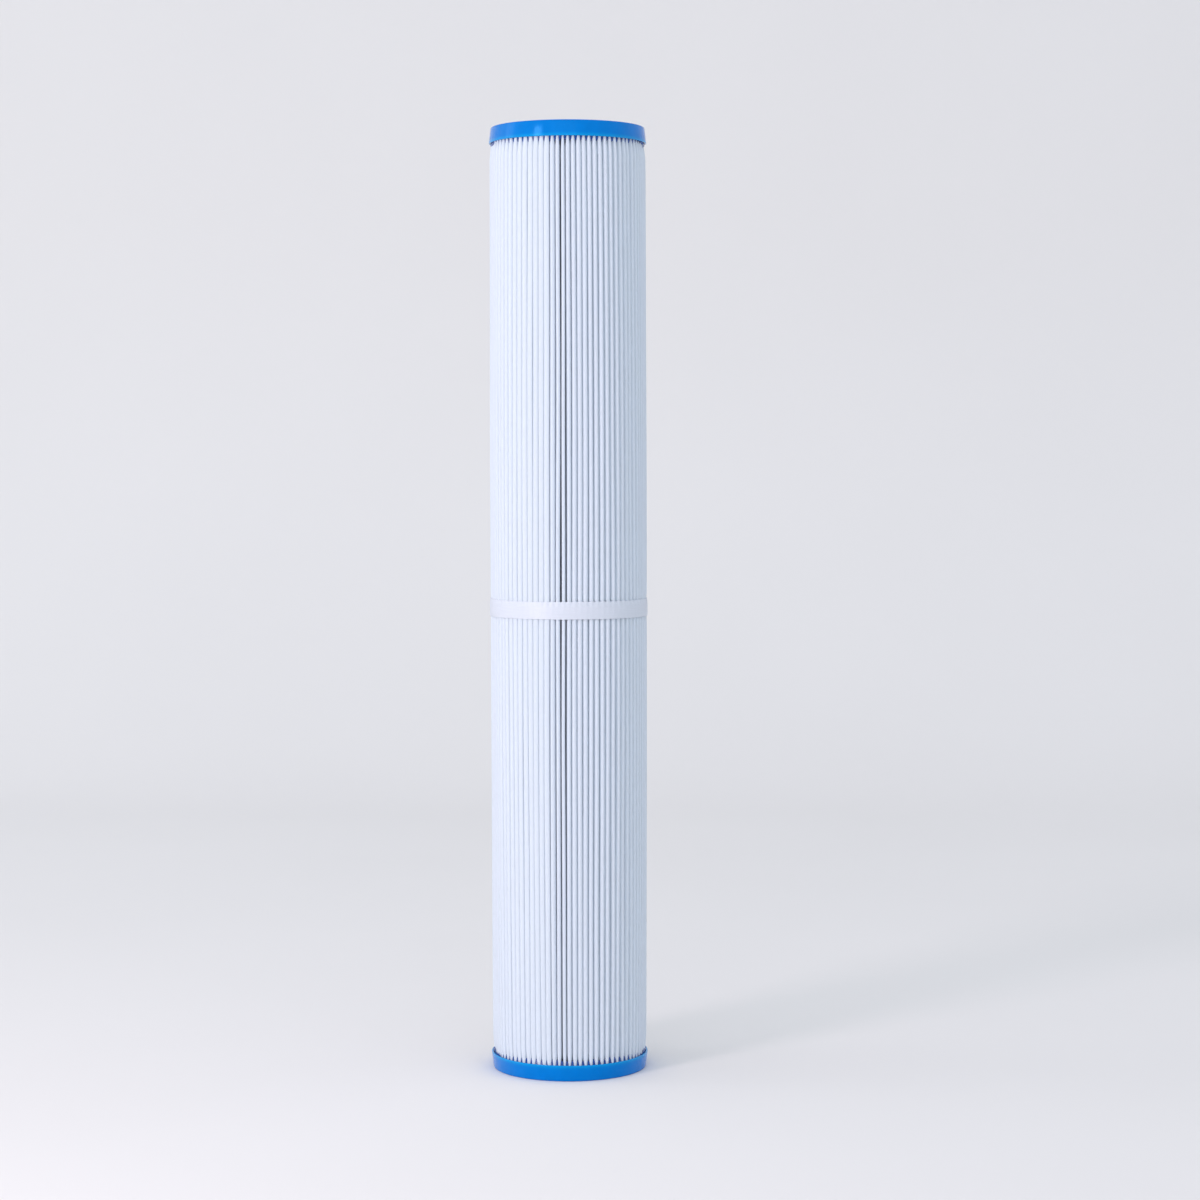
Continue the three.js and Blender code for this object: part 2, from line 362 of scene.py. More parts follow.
def moulded_polyurethane(name, colour, painted_lip_light_colour):
    """Blue polyurethane, cast in a steel mould.

    The eye sees a deep saturated blue with a soft broad shine, a little uneven from flow and
    cure. Towards the lip the blue is painted lighter: painted light for what shines through the thin
    wall and catches its edge.
    """
    material, tree = new_material(name)
    place_on = piece_space(tree)
    height = add_node(tree, "ShaderNodeSeparateXYZ", {0: place_on}).outputs["Z"]
    # Painted light: the last 3.6 mm of the skirt are painted lighter towards the lip, for light shining
    # through the thin wall and catching its edge.
    thin = add_node(
        tree,
        "ShaderNodeMapRange",
        {"Value": height, "From Min": CAP_HEIGHT - 3.6 * MM, "From Max": CAP_HEIGHT + 0.4 * MM},
        interpolation_type="SMOOTHSTEP",
    )
    cast = add_node(tree, "ShaderNodeMix", {0: thin.outputs[0]}, data_type="RGBA")
    cast.inputs[6].default_value = linear(colour)
    cast.inputs[7].default_value = linear(painted_lip_light_colour)
    # Flow marks, about 7 mm across.
    flow = noise(tree, place_on, 7 * MM, 3.0)
    # The mould's fine blasted texture: 0.1 mm in the real one, drawn at 0.6 mm so that it shows.
    grain = noise(tree, place_on, 0.6 * MM, 4.0)
    blue = shaded(tree, cast.outputs[2], flow, 0.96, 1.03)
    gloss = between(tree, flow, 0.11, 0.16)
    normal = relief(tree, grain, 0.25, 0.04 * MM)
    # The shine keeps the blue of the moulding.
    shine = {"Specular IOR Level": 0.42, "Specular Tint": (0.12, 0.58, 0.95, 1.0)}
    surface = solid(tree, blue, gloss, 1.5, normal, shine)
    return finished(material, surface)


def cast_resin(name, colour):
    """Polyurethane potting resin, poured and left to cure.

    The eye sees a glossier blue than the mouldings, with small bubbles and a few cloudy
    patches where it has wet the pleats. Its blue is painted darker than the mouldings', as painted shade
    for the valleys between the pleats.
    """
    material, tree = new_material(name)
    place_on = piece_space(tree)
    cloud = noise(tree, place_on, 5 * MM, 4.0)
    # Bubbles about 1.2 mm apart that rose and burst.
    bubbles = add_node(tree, "ShaderNodeTexVoronoi", {"Vector": place_on, "Scale": 1 / (1.2 * MM)})
    # The colour it is given carries painted shade for the valleys; the clouds are the resin's own.
    blue = shaded(tree, linear(colour), cloud, 0.75, 1.1)
    surface = solid(tree, blue, 0.22, 1.5, relief(tree, bubbles.outputs[0], 0.3, 0.06 * MM))
    return finished(material, surface)


def spunbond_polyester(name, colour):
    """White polyester felt, spun, laid at random and bonded hot.

    The eye sees a matt, faintly blue white with small clouds where more fibre was laid, fine
    fibres across it, and light that comes through the sheet into the valleys.
    """
    material, tree = new_material(name)
    place_on = piece_space(tree)
    # Clouds in the web, 2 to 4 mm across.
    cloud = noise(tree, place_on, 3 * MM, 3.0, roughness=0.6)
    felt = shaded(tree, linear(colour), cloud, 0.975, 1.0)
    # Fibres of 0.02 mm, drawn 0.25 mm thick and 2 mm long, most of them along the pleats.
    fibres = drawn_noise(tree, place_on, 0.25 * MM, 2 * MM, 4.0)
    normal = relief(tree, fibres, 0.35, 0.05 * MM)
    sheen = {"Specular IOR Level": 0.3, "Sheen Weight": 0.15, "Sheen Roughness": 0.5}
    front = solid(tree, felt, 0.85, 1.5, normal, sheen)
    through = add_node(tree, "ShaderNodeBsdfTranslucent", {"Color": felt, "Normal": normal})
    # About a third of the light that meets the felt goes on through it.
    return finished(material, partly(tree, 0.3, front, through.outputs[0]))


def moulded_polypropylene(name, colour):
    """Natural polypropylene, injection moulded.

    The eye sees a milky white with a low waxy shine and faint flow lines up the ribs.
    """
    material, tree = new_material(name)
    flow = drawn_noise(tree, piece_space(tree), 2 * MM, 15 * MM, 3.0)
    milky = shaded(tree, linear(colour), flow, 0.93, 1.0)
    surface = solid(tree, milky, 0.42, 1.49, relief(tree, flow, 0.2, 0.05 * MM))
    return finished(material, surface)


def extruded_polypropylene(name, colour):
    """White polypropylene strap, extruded and rolled.

    The eye sees a smooth satin white, a little see-through, with fine draw lines along it.
    """
    material, tree = new_material(name)
    # Draw lines 0.5 mm apart round the strap.
    lines = drawn_noise(tree, piece_space(tree), 12 * MM, 0.5 * MM, 3.0)
    white = shaded(tree, linear(colour), lines, 0.96, 1.0)
    front = solid(tree, white, 0.38, 1.49, relief(tree, lines, 0.25, 0.04 * MM))
    through = add_node(tree, "ShaderNodeBsdfTranslucent", {"Color": white})
    return finished(material, partly(tree, 0.2, front, through.outputs[0]))


def hot_melt(name):
    """Hot-melt glue, laid as a bead and set.

    The eye sees a cloudy cream with a soft shine and slow waves where the nozzle moved.
    """
    material, tree = new_material(name)
    waves = noise(tree, piece_space(tree), 4 * MM, 2.0)
    cream = shaded(tree, linear("ece7d6"), waves, 0.85, 1.0)
    surface = solid(tree, cream, 0.35, 1.48, relief(tree, waves, 0.4, 0.2 * MM))
    return finished(material, surface)


def matt_paper(name, colour):
    """Matt photographic paper on a roll: an even pale grey with no shine."""
    material, tree = new_material(name)
    # Slow unevenness, about half a metre across, as a hung roll shows.
    cloud = noise(tree, piece_space(tree), 0.5, 2.0)
    grey = shaded(tree, linear(colour), cloud, 0.985, 1.0)
    inputs = {"Base Color": grey, "Roughness": 0.95, "Specular IOR Level": 0.1}
    surface = add_node(tree, "ShaderNodeBsdfPrincipled", inputs).outputs[0]
    return finished(material, surface)


# ---------------------------------------------------------------- end caps


CAP_SEGMENTS = 192
FACE_RECESS = 0.8 * MM
OUTER_LAND = 6 * MM
INNER_LAND = 8 * MM
# The lip strays most, and the stiff face inside the skirt not at all.
SLACK = 0.12 * MM
SLACK_ORDERS = range(2, 7)
STIFF_RADIUS = 50 * MM
LOOSE_RADIUS = 60 * MM


def skirt_inside(cap, height):
    """The radius inside the skirt at a height; past the lip it is the lip's."""
    flare = cap.flare * np.minimum(height, CAP_HEIGHT) / CAP_HEIGHT
    return RIM_RADIUS - cap.flare + flare - cap.wall


def cap_outline(cap):
    """The cap's section: a flanged cup with a collar round the bore and two lands on its face."""
    bore = cap.bore_diameter / 2
    collar = bore + cap.wall
    face = RIM_RADIUS - cap.flare
    inner_land = bore + INNER_LAND
    outer_land = face - OUTER_LAND
    corners = [
        [bore, 0, 0.6 * MM],
        [inner_land, 0, 0.25 * MM],
        [inner_land + FACE_RECESS, FACE_RECESS, 0.25 * MM],
        [outer_land - FACE_RECESS, FACE_RECESS, 0.25 * MM],
        [outer_land, 0, 0.25 * MM],
        [face, 0, 1.3 * MM],
        [RIM_RADIUS, CAP_HEIGHT, 0.55 * MM],
        [RIM_RADIUS - cap.wall, CAP_HEIGHT, 0.45 * MM],
        [skirt_inside(cap, cap.floor), cap.floor, 0.8 * MM],
        [collar, cap.floor, 0.5 * MM],
        [collar, cap.floor + cap.collar_height, 0.4 * MM],
        [bore, cap.floor + cap.collar_height, 0.4 * MM],
    ]
    return rounded_outline(corners)


def slack_of(seed):
    """A casting's small lack of truth: its lip and skirt stray inward by up to about 0.17 mm."""
    draw = np.random.default_rng(seed)
    phases = draw.uniform(0, TURN, len(SLACK_ORDERS))

    def wander(angle, radius, height):
        wave = sum(
            SLACK / order * np.sin(order * angle + phase)
            for order, phase in zip(SLACK_ORDERS, phases)
        )
        share = height / CAP_HEIGHT * smoothstep(STIFF_RADIUS, LOOSE_RADIUS, radius)
        # Only inward of the true shape, so that the cap stays in its box.
        return radius - share * np.abs(wave), height - share * np.abs(wave)

    return wander


# ---------------------------------------------------------------- potting resin


RESIN_STEPS = 6
RESIN_RADII = [radius * MM for radius in (36, 44, 50, 54, 57, 58.6, 59.4, 60.0, 60.3)]
# Where the valleys begin and finish opening out, and the gap between the pleats and the skirt.
VALLEY_RADIUS = 50 * MM
MOUTH_RADIUS = 57 * MM
GAP_START = 59.2 * MM
GAP_END = 60.6 * MM
# How far the resin climbs everywhere, at the pleats' mouths, and in their valleys.
CLIMB = 1.0 * MM
MOUTH_CLIMB = 1.5 * MM
VALLEY_CLIMB = 3.2 * MM
CLIMB_STRAY = 0.8 * MM
RESIN_CLEARANCE = 0.02 * MM
FLOOR_CLEARANCE = 0.05 * MM
RESIN_TO_CORE = 0.1 * MM
FLASH_BEARING = math.radians(81)
FLASH_WIDTH = math.radians(16)
FLASH_ORDERS = (23, 37, 61, 84)


def potting_surface(radius, valley_share, stray):
    """The height of the cured resin: low in the gap at the skirt, and drawn up between the pleats."""
    gap = smoothstep(GAP_END, GAP_START, radius)
    mouth = smoothstep(VALLEY_RADIUS, MOUTH_RADIUS, radius)
    climb = gap * (CLIMB + MOUTH_CLIMB * mouth + VALLEY_CLIMB * mouth * valley_share)
    # Each valley's own share starts and ends a little further in.
    reached = smoothstep(VALLEY_RADIUS - 2 * MM, MOUTH_RADIUS, radius)
    ended = smoothstep(GAP_END - 0.2 * MM, GAP_START - 0.2 * MM, radius)
    return POTTING_LEVEL + climb + stray * valley_share * reached * ended


def flash_height(bearing, draw):
    """How far resin was squeezed up the skirt: it stands past the lip only at the two sides."""
    around = np.abs((bearing + math.pi) % TURN - math.pi)
    sides = np.exp(-(((around - FLASH_BEARING) / FLASH_WIDTH) ** 2))
    waves = [np.sin(order * bearing + draw.uniform(0, TURN)) for order in FLASH_ORDERS]
    ragged = sum(waves) / len(FLASH_ORDERS)
    return (0.5 + 0.4 * ragged + sides * (3.9 + 1.8 * ragged)) * MM


def build_potting(name, cap, resin, seed, upper=False):
    """A ring of resin from the core to the skirt, its surface drawn up into each valley."""
    media = settings("media")
    draw = np.random.default_rng(seed)
    segments = media.pleats * RESIN_STEPS
    index = np.arange(segments)
    nominal = index * TURN / segments
    if upper:
        # This one is turned over about X, which swaps a bearing for half a turn less it.
        bearing = nominal - drift(math.pi - nominal, LENGTH - MEDIA_START)
        from_front = math.pi - bearing
        lean = -media.lean
    else:
        bearing = nominal + drift(nominal, MEDIA_START)
        from_front = bearing
        lean = media.lean
    valley = 0.5 + 0.5 * np.cos(TURN * (index % RESIN_STEPS) / RESIN_STEPS)
    stray = np.repeat(draw.uniform(-1, 1, media.pleats), RESIN_STEPS) * CLIMB_STRAY
    inner = CORE_OUTER + RESIN_TO_CORE
    skirt = skirt_inside(cap, POTTING_LEVEL) - RESIN_CLEARANCE

    def leaning(radius):
        """The bearings of the valleys at a radius: the folds at the core lag behind the tips."""
        return bearing - lean * (skirt - radius) / (skirt - inner)

    points = []
    for radius in [inner, *RESIN_RADII]:
        points.append(at_bearing(radius, leaning(radius), potting_surface(radius, valley, stray)))
    # The flash: a thin ragged blade of resin against the skirt, as (inset, drop) of its rows.
    flash = POTTING_LEVEL + flash_height(from_front, draw)
    blade = skirt_inside(cap, flash) - RESIN_CLEARANCE
    for inset, drop in ((0.42 * MM, 0), (0.2 * MM, 0), (0, 0.12 * MM)):
        points.append(at_bearing(blade - inset, bearing, flash - drop))
    floor = cap.floor + FLOOR_CLEARANCE
    for radius in (skirt_inside(cap, floor) - FLOOR_CLEARANCE, inner):
        points.append(at_bearing(radius, leaning(radius), np.full(segments, floor)))
    faces = grid_faces(len(points), segments, close_rows=True)[:, ::-1]
    return mesh_object(name, np.concatenate(points), faces, resin)


# ---------------------------------------------------------------- core


CORE_SECTIONS = 3
SPIGOT = 8 * MM
JOINT_GAP = 0.3 * MM
CORE_RIB = 6.5 * MM
CORE_RING = 6 * MM
CORE_END_BAND = 14 * MM
CORE_OUTER = 31.4 * MM
CORE_CHAMFER = 0.4 * MM
WINDOW_CORNER = 3 * MM
WINDOW_STEPS = 8
EDGE_ROUND = 0.45 * MM
# How far in from either face the middle of a rounded edge lies.
EDGE_MIDDLE = 0.3 * EDGE_ROUND


def four_sides(width, height, side):
    """A closed loop of points; side(out, along) gives the points of the side at +X."""
    points = []
    for quarter in range(4):
        out, along = (width / 2, height / 2) if quarter % 2 == 0 else (height / 2, width / 2)
        c, s = math.cos(quarter * math.pi / 2), math.sin(quarter * math.pi / 2)
        points += [(x * c - y * s, x * s + y * c) for x, y in side(out, along)]
    return np.array(points)


def window_loop(width, height, corner):
    """The points of a rectangle with rounded corners, each side from mid corner to mid corner."""
    arc = WINDOW_STEPS // 4
    steps = WINDOW_STEPS - 2 * arc

    def side(out, along):
        centre, straight = out - corner, along - corner
        turns = [i * math.pi / 4 / arc for i in range(arc)]
        back = [turn - math.pi / 4 for turn in turns]
        points = [(centre + corner * math.cos(a), -straight + corner * math.sin(a)) for a in back]
        points += [(out, -straight + 2 * straight * i / steps) for i in range(steps)]
        return points + [(centre + corner * math.cos(a), straight + corner * math.sin(a)) for a in turns]

    return four_sides(width, height, side)


def frame_loop(width, height):
    """The points of a plain rectangle, matching window_loop point for point."""

    def side(out, along):
        return [(out, -along + 2 * along * i / WINDOW_STEPS) for i in range(WINDOW_STEPS)]

    return four_sides(width, height, side)


def build_core_section(name, index, core, polypropylene):
    """A cage of ribs and rings, rounded at its windows, with a spigot and socket where it joins."""
    pitch = (LENGTH - 2 * CORE_START) / CORE_SECTIONS
    first, last = index == 0, index == CORE_SECTIONS - 1
    bottom = CORE_START + index * pitch + (0 if first else JOINT_GAP / 2)
    top = CORE_START + (index + 1) * pitch - (0 if last else JOINT_GAP / 2)
    outside, inside = CORE_OUTER, CORE_OUTER - core.wall
    middle = (inside + outside) / 2
    cell_width = TURN * middle / core.columns
    cut_height = top - bottom - 2 * CORE_END_BAND
    window_height = (cut_height + CORE_RING) / core.rows - CORE_RING
    cell_height = window_height + CORE_RING
    window_width = cell_width - CORE_RIB

    def window(wider, corner):
        return window_loop(window_width + 2 * wider, window_height + 2 * wider, corner)

    cell = frame_loop(cell_width, cell_height)
    wide = window(EDGE_ROUND, WINDOW_CORNER + EDGE_ROUND)
    half = window(EDGE_MIDDLE, WINDOW_CORNER)
    narrow = window(0, WINDOW_CORNER)
    loops = [
        (cell, outside),
        (wide, outside),
        (half, outside - EDGE_MIDDLE),
        (narrow, outside - EDGE_ROUND),
        (narrow, inside + EDGE_ROUND),
        (half, inside + EDGE_MIDDLE),
        (wide, inside),
        (cell, inside),
    ]
    points, faces = [], []
    count = 4 * WINDOW_STEPS
    for row in range(core.rows):
        centre = bottom + CORE_END_BAND + (row + 0.5) * cell_height - CORE_RING / 2
        for column in range(core.columns):
            turn = (column + 0.5) * TURN / core.columns
            start = sum(len(p) for p in points)
            for loop, radius in loops:
                points.append(at_angle(radius, turn + loop[:, 0] / middle, centre + loop[:, 1]))
            faces.append(grid_faces(len(loops), count, start=start))

    # The plain bands at the ends share the cells' corner points round the ring.
    around = core.columns * WINDOW_STEPS
    angle = np.arange(around) * TURN / around
    joint_wall = (core.wall - JOINT_GAP) / 2
    low_edge = bottom + CORE_END_BAND - CORE_RING / 2
    high_edge = low_edge + core.rows * cell_height
    chamfer = CORE_CHAMFER
    lower = [(outside, low_edge), (outside, bottom + chamfer), (outside - chamfer, bottom)]
    if first:
        lower += [(inside + chamfer, bottom), (inside, bottom + chamfer)]
    else:
        shoulder = bottom + SPIGOT + JOINT_GAP
        mouth = outside - joint_wall
        lower += [(mouth, bottom), (mouth, shoulder), (inside, shoulder)]
    lower.append((inside, low_edge))
    upper = [(inside, high_edge)]
    if last:
        upper += [(inside, top - chamfer), (inside + chamfer, top), (outside - chamfer, top)]
    else:
        neck = inside + joint_wall
        upper += [(inside, top + SPIGOT), (neck - chamfer, top + SPIGOT)]
        upper += [(neck, top + SPIGOT - chamfer), (neck, top), (outside - chamfer, top)]
    upper += [(outside, top - chamfer), (outside, high_edge)]
    for outline in (lower, upper):
        start = sum(len(p) for p in points)
        for radius, height in outline:
            points.append(at_angle(radius, angle, np.full(around, height)))
        faces.append(grid_faces(len(outline), around, start=start))

    piece = mesh_object(name, np.concatenate(points), np.concatenate(faces), polypropylene)
    weld_and_face_out(piece)
    return piece


# ---------------------------------------------------------------- pleated media


# How the pleats have been pushed round the ring, in degrees: all of them by one push, further up the
# height by a twist, closer together at the front, and to and fro in a slow wave.
PLEAT_PUSH = -1.1
PLEAT_TWIST = -0.65
FRONT_SQUEEZE = 1.2
SLOW_WAVE = 0.8
# How far the tips stand out from the CAD ring: most at a share of the height, and less by the square
# of the distance from there.
SWELL_MOST = 0.4 * MM
SWELL_HEIGHT = 0.6
SWELL_LOSS = 3.0 * MM
COLUMNS_PER_PLEAT = 12
TIP_POINTS = 5
EMBEDDED = 1.8 * MM
TIP_STRAY = 0.12 * MM
# The pleats lean on one side of each cup.
CUP_SHIFT = 0.25 * MM
CUP_CLEARANCE = 0.5 * MM
STRAP_CLEARANCE = 0.12 * MM
# How far from the strap's middle the tips are held, and free.
HELD = 6.8 * MM
FREE = 13 * MM
# Below and above these distances from an end, a pleat is as narrow as the resin holds it, or free.
NARROW = 11.5 * MM
FULL = 22 * MM
NARROWING = 0.42
BOW = 0.22 * MM
# How much the tips' widths vary, and the least and the most that they may.
TIP_VARIES = 0.05
TIP_LEAST, TIP_MOST = 0.88, 1.1
# Neighbours are widest this far in from their tips.
TIP_DEPTH = 1.5 * MM
NEIGHBOUR_CLEARANCE = 0.02 * MM
# A free tip's height over half its width, how much pressing takes off it, and the least it may be.
CROWN, CROWN_LOSS, CROWN_LEAST = 1.1, 0.75, 0.35
CORE_CLEARANCE = 0.4 * MM
FOLD_DEPTH = 0.25 * MM
# Two points up each flank, as shares of its length and of its bow.
FLANK_POINTS = ((0.36, 1.0), (0.72, 0.8))
# The tips are pressed together at the left, and stand open in one place near the front.
PRESSED = 0.55 * MM
OPENED = 1.3 * MM
OPEN_BEARING = math.radians(-2.4)
OPEN_WIDTH = math.radians(5.2)
PRESS_START = math.radians(-8)
PRESS_FULL = math.radians(-16)
PRESS_EASES = math.radians(-110)


def drift(bearing, height):
    """How far the pleats at a bearing and a height have been pushed round, in radians."""
    up = 2 * height / LENGTH - 1
    squeeze = FRONT_SQUEEZE * np.sin(4 * bearing)
    wave = SLOW_WAVE * np.sin(2 * bearing + 2 * up)
    return np.radians(PLEAT_PUSH + PLEAT_TWIST * up - squeeze + wave)


def media_levels():
    """The heights at which the media is shaped: close together where it is pinched."""
    low = MEDIA_START - EMBEDDED
    near_cap = [0, 1.6, 3.2, 5.0, 7.5, 11, 15.5, 23]
    near_strap = [-24, -15, -10.5, -7.9, -6.6, -2.5, 2.5, 6.6, 7.9, 10.5, 15, 24]
    bottom = [low + step * MM for step in near_cap]
    strap = [STRAP_CENTRE + step * MM for step in near_strap]
    top = [LENGTH - level for level in reversed(bottom)]
    lower = list(np.linspace(bottom[-1], strap[0], 10)[1:-1])
    upper = list(np.linspace(strap[-1], top[0], 10)[1:-1])
    return np.array(bottom + lower + strap + upper + top)


def slow_noise(draw, pleats, levels, size, waves=5):
    """Seeded noise that varies smoothly up each pleat and freely from pleat to pleat."""
    share = levels / LENGTH
    total = np.zeros((len(levels), pleats))
    for wave in range(waves):
        phase = draw.uniform(0, TURN, pleats)
        height = draw.normal(0, 1, pleats) / (1 + 0.5 * wave)
        total += height[None, :] * np.sin(TURN * (0.35 + 0.8 * wave) * share[:, None] + phase)
    return total * size / 1.5


def tip_radius(levels, bearing, draw, pleats):
    """The radius of each tip: pinched by the caps and the strap, and free in between."""
    cap = settings("caps")
    throat = skirt_inside(cap, MEDIA_START) - CUP_CLEARANCE
    from_end = np.minimum(levels, LENGTH - levels)[:, None]
    swell = smoothstep(MEDIA_START - 2 * MM, MEDIA_START + 16 * MM, from_end)
    fall = SWELL_LOSS * (levels / LENGTH - SWELL_HEIGHT) ** 2
    free = MEDIA_RADIUS + (SWELL_MOST - fall)[:, None]
    free = free + slow_noise(draw, pleats, levels, TIP_STRAY)
    side = CUP_SHIFT * np.sin(bearing + np.where(levels < LENGTH / 2, 0.0, math.pi)[:, None])
    pinched = throat + side
    radius = pinched + (free - pinched) * swell
    from_strap = np.abs(levels - STRAP_CENTRE)[:, None]
    held = smoothstep(FREE, HELD, from_strap)
    under_strap = STRAP_RADIUS - settings("strap").thickness - STRAP_CLEARANCE
    return radius + (under_strap - radius) * held


def pleat_face(levels, tips, roots, radius, root_radius, tip_half, root_half, bow, rounding):
    """One face of the folded sheet, as (levels, columns, 3) points.

    Each pleat has the middle and the edge of the valley before it, its first flank, its rounded
    tip, its second flank and the edge of the valley after it.
    """

    def at(reach, bearing):
        return np.stack([reach * np.sin(bearing), -reach * np.cos(bearing)], axis=-1)

    def across(bearing):
        return np.stack([np.cos(bearing), np.sin(bearing)], axis=-1)

    before = roots
    after = np.roll(roots, -1, axis=1)
    after[:, -1] += TURN
    tip_line = across(tips)
    crown = rounding * tip_half
    columns = [at(root_radius, before)]
    root_reach = np.full_like(before, root_radius + FOLD_DEPTH)
    first_edge = at(root_reach, before) + root_half * across(before)
    last_edge = at(root_reach, after) - root_half * across(after)
    shoulder = at(radius - crown, tips)
    first_tip = shoulder - tip_half[..., None] * tip_line
    last_tip = shoulder + tip_half[..., None] * tip_line
    columns.append(first_edge)
    for share, lift in FLANK_POINTS:
        columns.append(first_edge + (first_tip - first_edge) * share + tip_line * bow[..., None] * lift)
    for step in range(TIP_POINTS):
        turn = math.pi * (step / (TIP_POINTS - 1) - 0.5)
        side = math.sin(turn) * tip_half[..., None]
        columns.append(at(radius - crown * (1 - math.cos(turn)), tips) + side * tip_line)
    for share, lift in reversed(FLANK_POINTS):
        columns.append(last_edge + (last_tip - last_edge) * share + tip_line * bow[..., None] * lift)
    columns.append(last_edge)
    flat = np.stack(columns, axis=2)
    count, pleats = tips.shape
    height = np.broadcast_to(levels[:, None, None, None], flat.shape[:3] + (1,))
    return np.concatenate([flat, height], axis=-1).reshape(count, pleats * COLUMNS_PER_PLEAT, 3)


def fullness(bearing):
    """How much wider the tips are at a bearing: pressed together at the left, open at the front."""
    around = (bearing + math.pi) % TURN - math.pi
    pressed = PRESSED * smoothstep(PRESS_START, PRESS_FULL, around)
    opened = OPENED * np.exp(-(((around - OPEN_BEARING) / OPEN_WIDTH) ** 2))
    return pressed * smoothstep(-math.pi, PRESS_EASES, around) - opened


def pleat_bearings(levels):
    """The bearings of every tip and every valley's fold at each height, seen from the front."""
    media = settings("media")
    draw = np.random.default_rng(84)
    pitch = TURN / media.pleats
    tip_nominal = (np.arange(media.pleats) + 0.5) * pitch
    root_nominal = np.arange(media.pleats) * pitch
    stray = slow_noise(draw, media.pleats, levels, media.wander / MEDIA_RADIUS)
    tips = tip_nominal + drift(tip_nominal, levels[:, None]) + stray
    roots = root_nominal + drift(root_nominal, levels[:, None]) - media.lean
    return tips, roots


def build_media(name, felt):
    """The folded sheet: a closed ring of pleats, one felt thick."""
    media = settings("media")
    levels = media_levels()
    draw = np.random.default_rng(21)
    tips, roots = pleat_bearings(levels)
    radius = tip_radius(levels, tips, draw, media.pleats)
    bow = slow_noise(draw, media.pleats, levels, BOW, waves=4)
    nominal = (np.arange(media.pleats) + 0.5) * TURN / media.pleats
    swelling = 1 + TIP_VARIES * slow_noise(draw, media.pleats, levels, 1.0, waves=3)
    tip_half = (media.tip_width + fullness(nominal)) / 2 * np.clip(swelling, TIP_LEAST, TIP_MOST)
    # The resin holds each pleat narrower where it goes into a cap.
    from_end = np.minimum(levels, LENGTH - levels)[:, None]
    tip_half = tip_half * (1 - NARROWING * smoothstep(FULL, NARROW, from_end))
    # Neighbours all but touch, and never run into each other.
    ahead = np.roll(tips, -1, axis=1) - tips
    ahead[:, -1] += TURN
    room = np.minimum(ahead, np.roll(ahead, 1, axis=1)) * (radius - TIP_DEPTH)
    tip_half = np.minimum(tip_half, room / 2 - NEIGHBOUR_CLEARANCE)
    root_inner = CORE_OUTER + CORE_CLEARANCE
    root_half = root_inner * TURN / media.pleats / 4 - media.thickness / 2
    # Pleats that press on each other go flat at the tip.
    rounding = np.clip(CROWN - CROWN_LOSS * fullness(nominal) / PRESSED, CROWN_LEAST, CROWN)

    def face(depth):
        """The sheet's face this far in from its outer one."""
        reach, fold = radius - depth, root_inner + media.thickness - depth
        narrower, wider = tip_half - depth, root_half + depth
        return pleat_face(levels, tips, roots, reach, fold, narrower, wider, bow, rounding)

    outer = face(0)
    inner = face(media.thickness)
    rows, columns = outer.shape[:2]
    count = rows * columns
    points = np.concatenate([outer.reshape(-1, 3), inner.reshape(-1, 3)])
    outer_faces = grid_faces(rows, columns)
    inner_faces = grid_faces(rows, columns, start=count)[:, ::-1]
    ring = np.arange(columns)
    ahead = (ring + 1) % columns
    top = (rows - 1) * columns
    bottom_rim = np.stack([ahead, ring, ring + count, ahead + count], axis=-1)
    top_rim = np.stack(
        [ring + top, ahead + top, ahead + top + count, ring + top + count], axis=-1
    )
    faces = np.concatenate([outer_faces, inner_faces, bottom_rim, top_rim])
    piece = mesh_object(name, points, faces, felt, sharp_angle=75)
    middle = (outer[rows // 2] + inner[rows // 2]) / 2
    run = float(np.linalg.norm(np.roll(middle, -1, axis=0) - middle, axis=1).sum())
    return piece, run, float(levels[-1] - levels[0])


SEAM_INNER = 46 * MM
SEAM_OUTER = 53.6 * MM
SEAM_LEVELS = 60
SEAM_SIDES = 12
# Where a valley's walls begin to part, for how far the seam is up it.
FOLD_END = 32 * MM


def build_seam(name, glue):
    """The glue line that closes the sheet, in one valley at the back."""
    media = settings("media")
    draw = np.random.default_rng(5)
    levels = np.linspace(MEDIA_START, LENGTH - MEDIA_START, SEAM_LEVELS)
    tips, roots = pleat_bearings(levels)
    pitch = TURN / media.pleats
    # The CAD bead's bearing, seen from the front, picks the valley.
    low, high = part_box("media_seam_bead")
    centre = (low + high) / 2
    target = math.atan2(centre.x, -centre.y) % TURN
    valley = int(round(target / pitch)) % media.pleats
    before = tips[:, valley - 1] - (TURN if valley == 0 else 0)
    mouth = (before + tips[:, valley]) / 2
    root = roots[:, valley]
    inner, outer = SEAM_INNER, SEAM_OUTER
    reach = (np.array([inner, outer]) - FOLD_END) / (MEDIA_RADIUS - FOLD_END)
    section = []
    for side in range(SEAM_SIDES):
        turn = side * TURN / SEAM_SIDES
        section.append((0.5 + 0.5 * math.cos(turn), math.sin(turn)))
    wave = 0.25 * MM * np.sin(levels * 180 + draw.uniform(0, TURN))
    points = []
    for level, m, r, w in zip(levels, mouth, root, wave):
        for along, side in section:
            share = reach[0] + (reach[1] - reach[0]) * along
            radius = inner + (outer - inner) * along + w * (along - 0.5)
            bearing = r + (m - r) * share
            half = (0.35 + 0.42 * share) * MM
            x = radius * math.sin(bearing) + side * half * math.cos(bearing)
            y = -radius * math.cos(bearing) + side * half * math.sin(bearing)
            points.append((x, y, level))
    faces = rod_faces(len(levels), SEAM_SIDES)
    return mesh_object(name, points, faces, glue, sharp_angle=50)


# ---------------------------------------------------------------- strap


LAP_BEARING = 0.75 * math.pi
STRAP_STEPS_PER_PLEAT = 4
LAP_STEPS = 18
LAP_STEP = 9 * MM
STRAP_EDGE = 0.3 * MM
# Rows of points across its outer face, as shares of its width.
STRAP_ROWS = (-0.32, -0.1, 0.12, 0.22, 0.32, 0.4)
